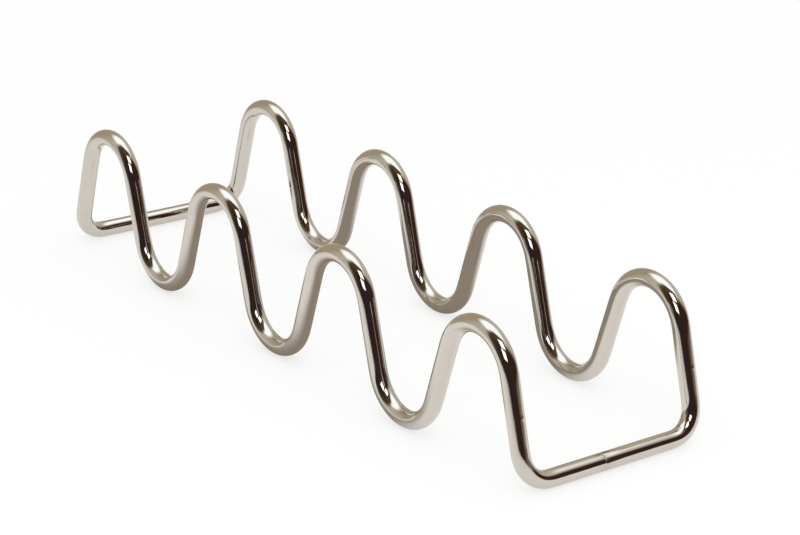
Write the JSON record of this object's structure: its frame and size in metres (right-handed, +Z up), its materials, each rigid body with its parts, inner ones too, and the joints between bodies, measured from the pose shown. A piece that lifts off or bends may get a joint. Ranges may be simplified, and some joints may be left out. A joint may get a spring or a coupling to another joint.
{
  "type": "taco holder",
  "caption": "Bent round-wire rack that stands folded tacos upright in a row of open valleys, on a foot bar at each end.",
  "frame": {"origin": "middle of the footprint, on the surface that the holder stands on", "axes": "+X along the row of valleys, +Y across the holder, +Z up"},
  "size_m": [0.2041, 0.0568, 0.0379],
  "materials": {
    "polished_steel": "mirror-polished stainless steel wire"
  },
  "bodies": {
    "root": {"wire_frame": "polished_steel"}
  },
  "joints": []
}
